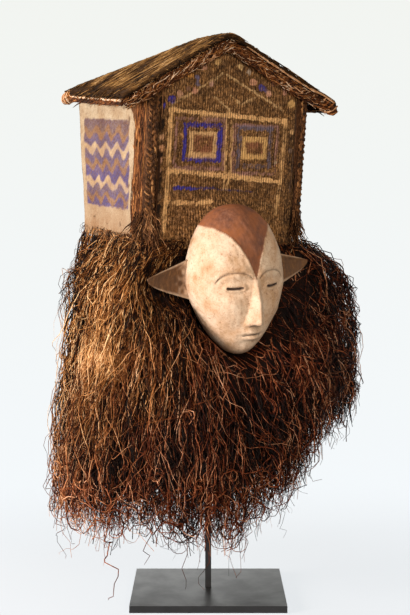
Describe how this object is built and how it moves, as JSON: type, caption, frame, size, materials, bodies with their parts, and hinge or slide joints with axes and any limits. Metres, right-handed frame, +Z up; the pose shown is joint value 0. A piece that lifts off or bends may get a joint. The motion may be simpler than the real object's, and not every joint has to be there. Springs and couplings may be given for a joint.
{
  "type": "nkanu helmet mask on a stand",
  "caption": "Woven house-shaped helmet mask with a carved white face, pointed ears and a long root fringe, held on a rod above a square base plate.",
  "frame": {"origin": "middle of the base plate's underside", "axes": "+Z up, the mask looks towards -Y, +X to the right of someone who faces it"},
  "size_m": [0.424, 0.3623, 0.7313],
  "materials": {
    "stand_steel": "satin black paint",
    "woven_raffia": "twined raffia with ochre, cream and blue pigment",
    "painted_panel": "bark cloth under kaolin with blue and tan zigzags",
    "cane": "split cane, dusty",
    "plaited_cord": "plaited raffia cord, dark with age",
    "roof_raffia": "raffia mat, olive and ochre stripes",
    "frayed_fibre": "frayed fibre bundle",
    "carved_wood": "carved wood under kaolin and red-brown pigment",
    "root_fibre": "thin dry roots"
  },
  "bodies": {
    "root": {"stand_base_plate": "stand_steel", "stand_rod": "stand_steel", "front_wall": "woven_raffia", "left_wall": "painted_panel", "right_wall": "painted_panel", "back_wall": "painted_panel", "corner_cane_left": "cane", "corner_cane_right": "cane", "corner_braid_left": "plaited_cord", "corner_braid_right": "plaited_cord", "roof_mat": "roof_raffia", "roof_front_roll": "frayed_fibre", "eave_binding": "frayed_fibre", "carved_face": "carved_wood", "root_fringe": "root_fibre"}
  },
  "joints": []
}
